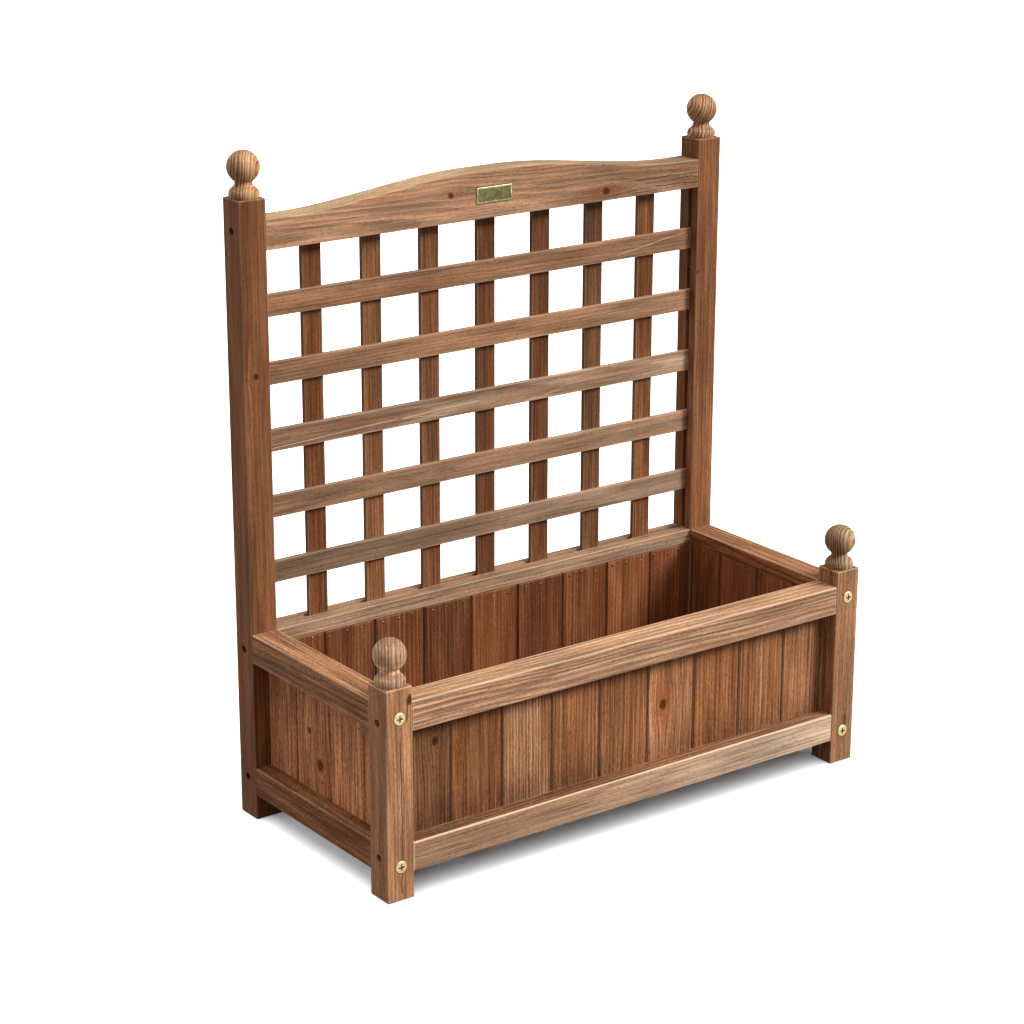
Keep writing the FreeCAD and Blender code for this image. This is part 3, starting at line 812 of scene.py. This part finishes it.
def brad(shape, seat, face, dice):
    """A domed brad head on a board: seat is on its surface and face points into the box."""
    aside = Vector((-face.y, face.x, 0.0))
    upright = Vector((0.0, 0.0, 1.0))
    stretch = dice.uniform(*brad_stretch)
    rings = []
    for reach, rise in brad_profile:
        ring = []
        for step in range(brad_sides):
            turn = 2.0 * math.pi * step / brad_sides
            flat = aside * math.cos(turn) + upright * math.sin(turn) * stretch
            ring.append(shape.verts.new(seat + flat * brad_radius * reach + face * rise))
        rings.append(ring)
    tip = shape.verts.new(seat + face * brad_crown)
    for low, high in zip(rings, rings[1:]):
        for i in range(brad_sides):
            after = (i + 1) % brad_sides
            shape.faces.new((low[i], low[after], high[after], high[i]))
    for i in range(brad_sides):
        shape.faces.new((rings[-1][i], rings[-1][(i + 1) % brad_sides], tip))
    shape.faces.new(rings[0][::-1])


def wall_brads():
    """Three brads pin the head of every wall board to its top rail, seen from inside the box."""
    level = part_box("back_top_rail")[1].z - brad_drop
    for wall, facing in inward.items():
        face = Vector(facing)
        dice = random.Random(wall)
        shape = bmesh.new()
        for node in sorted(nodes):
            if not node.startswith(wall + "_wall_board"):
                continue
            low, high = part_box(node)
            for share in brads_per_board:
                along = share + dice.uniform(-brad_scatter, brad_scatter)
                seat = low.lerp(high, along)
                if face.x:
                    seat.x = high.x if face.x > 0 else low.x
                else:
                    seat.y = high.y if face.y > 0 else low.y
                seat.z = level + dice.uniform(*brad_rise)
                brad(shape, seat, face, dice)
        add_piece(wall + "_brads", shape, iron)


wall_brads()


# ------------------------------------------------------------------ raised border of the plate

border_width = 0.0024
border_rise = 0.0006
border_inset = 0.0004
border_corner = 0.0016
border_sunk = 0.0001
corner_turns = 5
profile_turns = 6


def plate_border():
    """A raised border round the blank plate, with a round top, rubbed pale by cleaning."""
    low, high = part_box("blank_plate")
    centre = (low + high) / 2.0
    half = (high - low) / 2.0 - Vector((border_inset, 0.0, border_inset))
    shape = bmesh.new()
    path = []
    for side_x, side_z, start in ((1, 1, 0), (-1, 1, 90), (-1, -1, 180), (1, -1, 270)):
        bend = Vector((side_x * (half.x - border_corner), 0.0, side_z * (half.z - border_corner)))
        for step in range(corner_turns + 1):
            turn = math.radians(start + step * 90 / corner_turns)
            out = Vector((math.cos(turn), 0.0, math.sin(turn)))
            path.append((bend + out * border_corner, out))
    rings = []
    for spot, out in path:
        ring = []
        for step in range(profile_turns + 1):
            turn = math.pi * step / profile_turns
            across = border_width * 0.5 * (1.0 - math.cos(turn))
            rise = border_rise * math.sin(turn) - border_sunk
            place = Vector((centre.x, low.y - rise, centre.z)) + spot - out * across
            ring.append(shape.verts.new(place))
        rings.append(ring)
    for ring, after in zip(rings, rings[1:] + rings[:1]):
        for i in range(profile_turns):
            shape.faces.new((ring[i], after[i], after[i + 1], ring[i + 1]))
    bmesh.ops.recalc_face_normals(shape, faces=shape.faces)
    add_piece("plate_border", shape, rubbed)


plate_border()


# ------------------------------------------------------------------ floor, light and camera

floor_reach = 30.0
floor_seen = (0.83, 0.84, 0.85)
floor_mirrored = (0.25, 0.25, 0.25)
floor_bounce = (0.07, 0.068, 0.066)


def floor():
    """A pale floor that keeps the shadow and throws little of its brightness on the wood."""
    signs = ((-1, -1), (1, -1), (1, 1), (-1, 1))
    corners = [(x * floor_reach, y * floor_reach, 0) for x, y in signs]
    mesh = bpy.data.meshes.new("floor")
    mesh.from_pydata(corners, [], [(0, 1, 2, 3)])
    piece = put_in_scene("floor", mesh)
    material, g, shader = blank_material("pale_floor", "BsdfDiffuse")
    path = g.add("LightPath")
    bounced = g.mix(path.outputs["Is Glossy Ray"], floor_bounce, floor_mirrored)
    seen = g.mix(path.outputs["Is Camera Ray"], bounced, floor_seen)
    g.feed(shader.inputs["Color"], seen)
    mesh.materials.append(material)
    return piece


ground = floor()


def sun(name, toward, strength, angle, spare=None, only=None):
    """A distant lamp in the direction toward, as soft as its angle in degrees.

    It lights all but the piece spare, or nothing but the piece only.
    """
    lamp = bpy.data.lights.new(name, "SUN")
    lamp.energy = strength
    lamp.angle = math.radians(angle)
    piece = put_in_scene(name, lamp)
    piece.rotation_mode = "QUATERNION"
    piece.rotation_quaternion = Vector(toward).to_track_quat("Z", "Y")
    reach = bpy.data.collections.new(name + "_reach")
    reach.objects.link(spare or only)
    reach.collection_objects[0].light_linking.link_state = "EXCLUDE" if spare else "INCLUDE"
    piece.light_linking.receiver_collection = reach


sun("key", (0.487, -0.646, 0.588), 2.9, 20.0, spare=ground)
sun("top", (0.1, -0.15, 1.0), 1.7, 70.0, spare=ground)
sun("behind", (-0.15, 0.8, 0.45), 0.8, 60.0, spare=ground)
sun("floor_light", (-0.1, -0.12, 1.0), 8.0, 120.0, only=ground)

sky_seen = (1, 1, 1)
sky_light = (0.25, 0.225, 0.2)
world = bpy.data.worlds.new("studio")
bpy.context.scene.world = world
world.use_nodes = True
world.node_tree.nodes.clear()
g = Graph(world.node_tree)
back = g.add("Background")
sky = g.add("OutputWorld")
world.node_tree.links.new(back.outputs[0], sky.inputs[0])
path = g.add("LightPath")
g.feed(back.inputs["Color"], g.mix(path.outputs["Is Camera Ray"], sky_light, sky_seen))
back.inputs["Strength"].default_value = 1.0

# The camera fitted to the photograph: its turns in radians, its place and its focal length.
yaw, pitch, roll = 0.636, -0.314, 0.002
camera_place = (-1.66107, -2.17096, 1.205226)
focal_pixels = 2665.724
picture_pixels = 1024.0
sensor_width = 36.0
ahead = Vector((math.sin(yaw) * math.cos(pitch), math.cos(yaw) * math.cos(pitch), math.sin(pitch)))
right = Vector((math.cos(yaw), -math.sin(yaw), 0.0))
upward = right.cross(ahead)
side = right * math.cos(roll) + upward * math.sin(roll)
top = upward * math.cos(roll) - right * math.sin(roll)
eye = bpy.data.cameras.new("camera")
eye.sensor_width = sensor_width
eye.lens = focal_pixels * sensor_width / picture_pixels
eye.clip_end = 100.0
camera = put_in_scene("camera", eye)
camera.matrix_world = Matrix(
    (
        (side.x, top.x, -ahead.x, camera_place[0]),
        (side.y, top.y, -ahead.y, camera_place[1]),
        (side.z, top.z, -ahead.z, camera_place[2]),
        (0.0, 0.0, 0.0, 1.0),
    )
)
bpy.context.scene.camera = camera
bpy.context.scene.view_settings.view_transform = "Standard"
